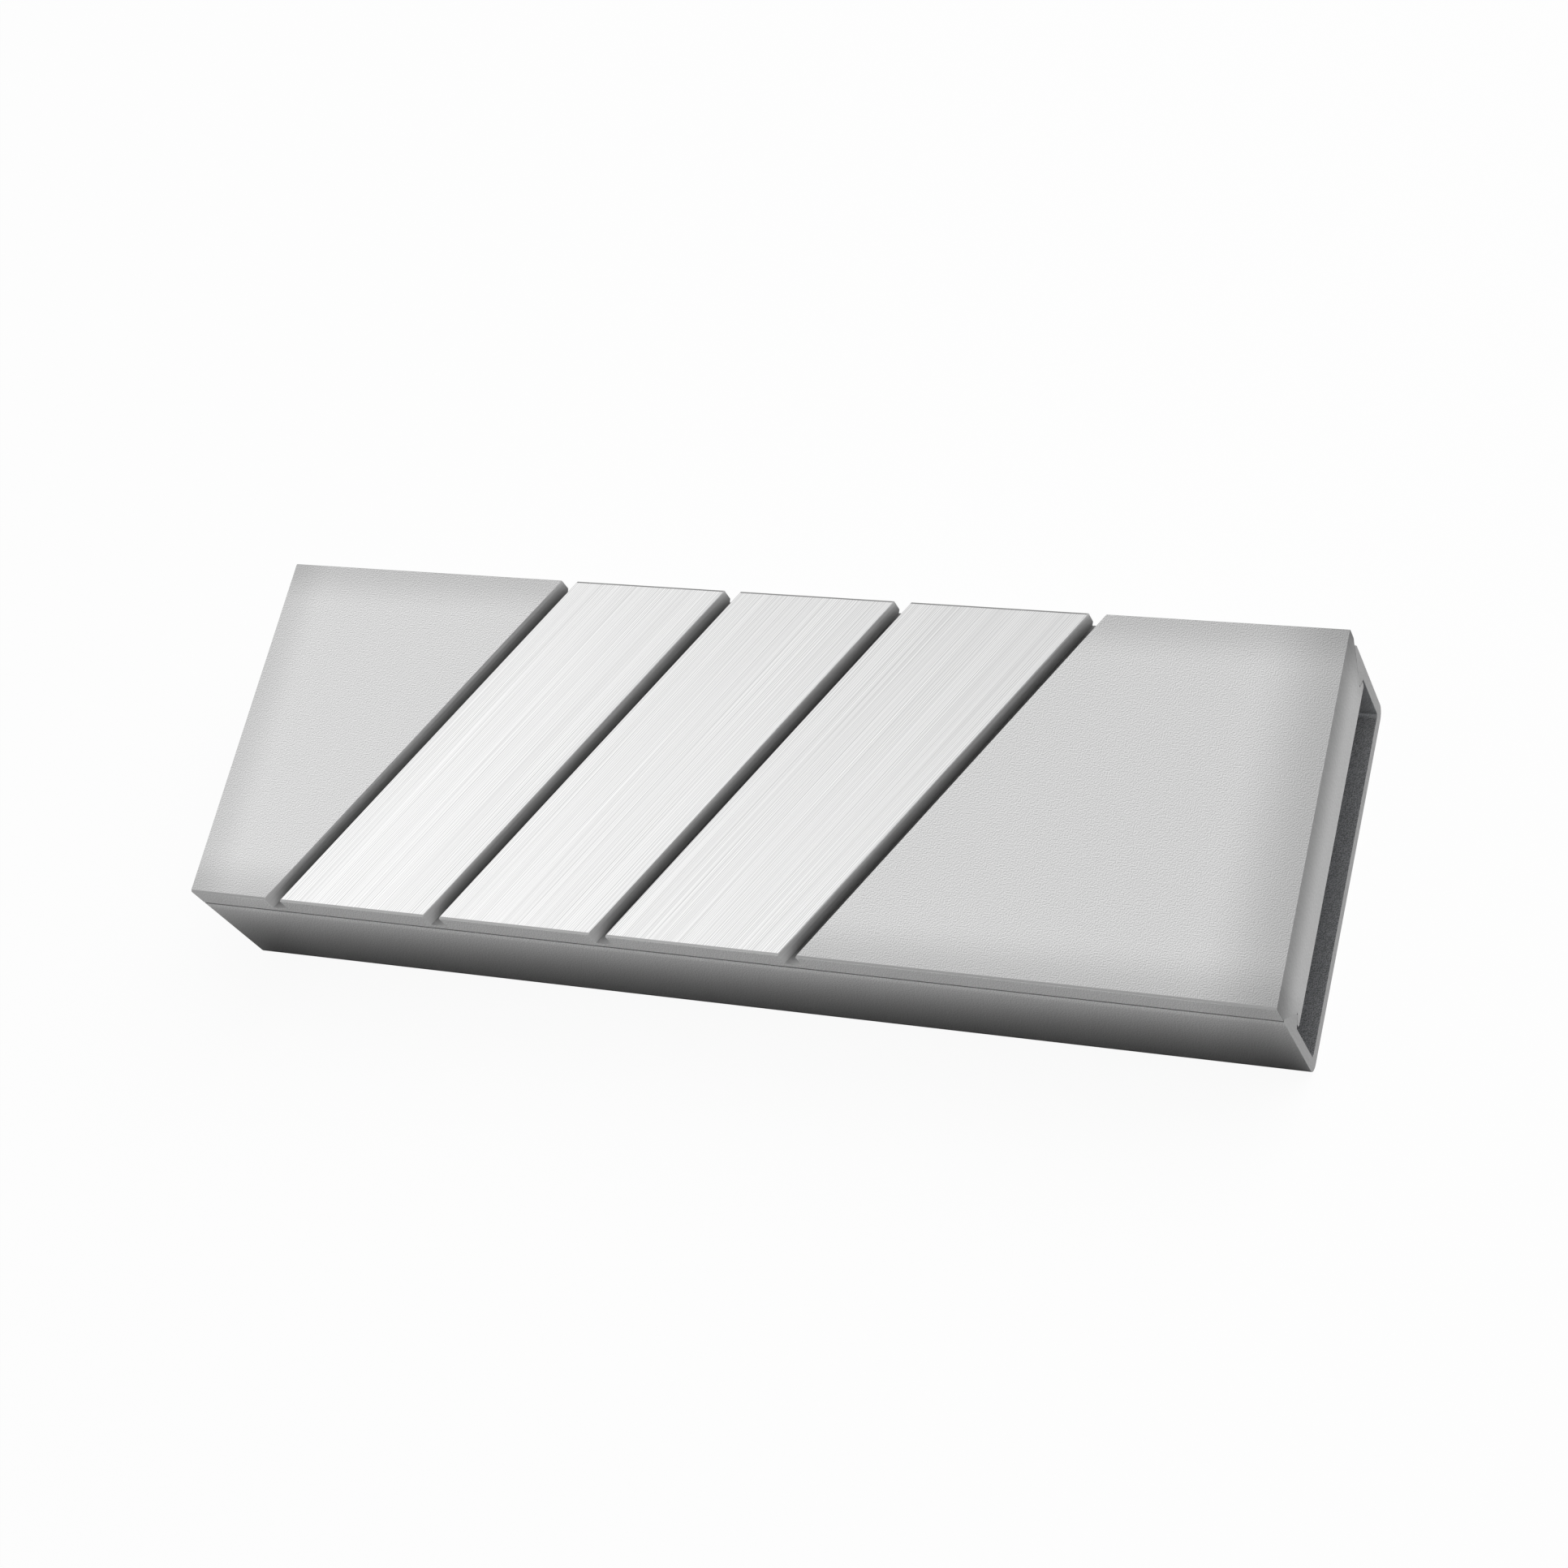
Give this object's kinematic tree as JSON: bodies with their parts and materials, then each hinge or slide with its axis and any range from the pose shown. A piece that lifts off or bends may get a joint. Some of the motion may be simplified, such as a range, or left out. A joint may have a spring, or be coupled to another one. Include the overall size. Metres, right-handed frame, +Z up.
{
  "type": "solid-state drive heat sink",
  "caption": "Slim aluminium heat sink for a drive card: a diagonally grooved top slides in the hooked walls of a U-shaped tray, each with a thermal pad.",
  "frame": {"origin": "middle of the tray's flat bottom", "axes": "+X along the length towards the wide bare plate, +Y from the near side to the side with the prying notch, +Z up through the grooved top"},
  "size_m": [0.074, 0.0248, 0.011],
  "materials": {
    "tray_aluminium": "fine blasted and clear anodised, satin grey",
    "top_aluminium": "fine blasted and clear anodised, with bright strips brushed along the grooves",
    "thermal_pad": "soft matte silicone pad, blue-grey"
  },
  "bodies": {
    "tray": {"bottom_tray": "tray_aluminium", "lower_thermal_pad": "thermal_pad"},
    "top": {"top_heatsink": "top_aluminium", "upper_thermal_pad": "thermal_pad"}
  },
  "joints": [
    {"name": "top_slide", "type": "slide", "parent": "tray", "child": "top", "axis": [1, 0, 0], "range_m": [-0.07, 0.07]}
  ]
}
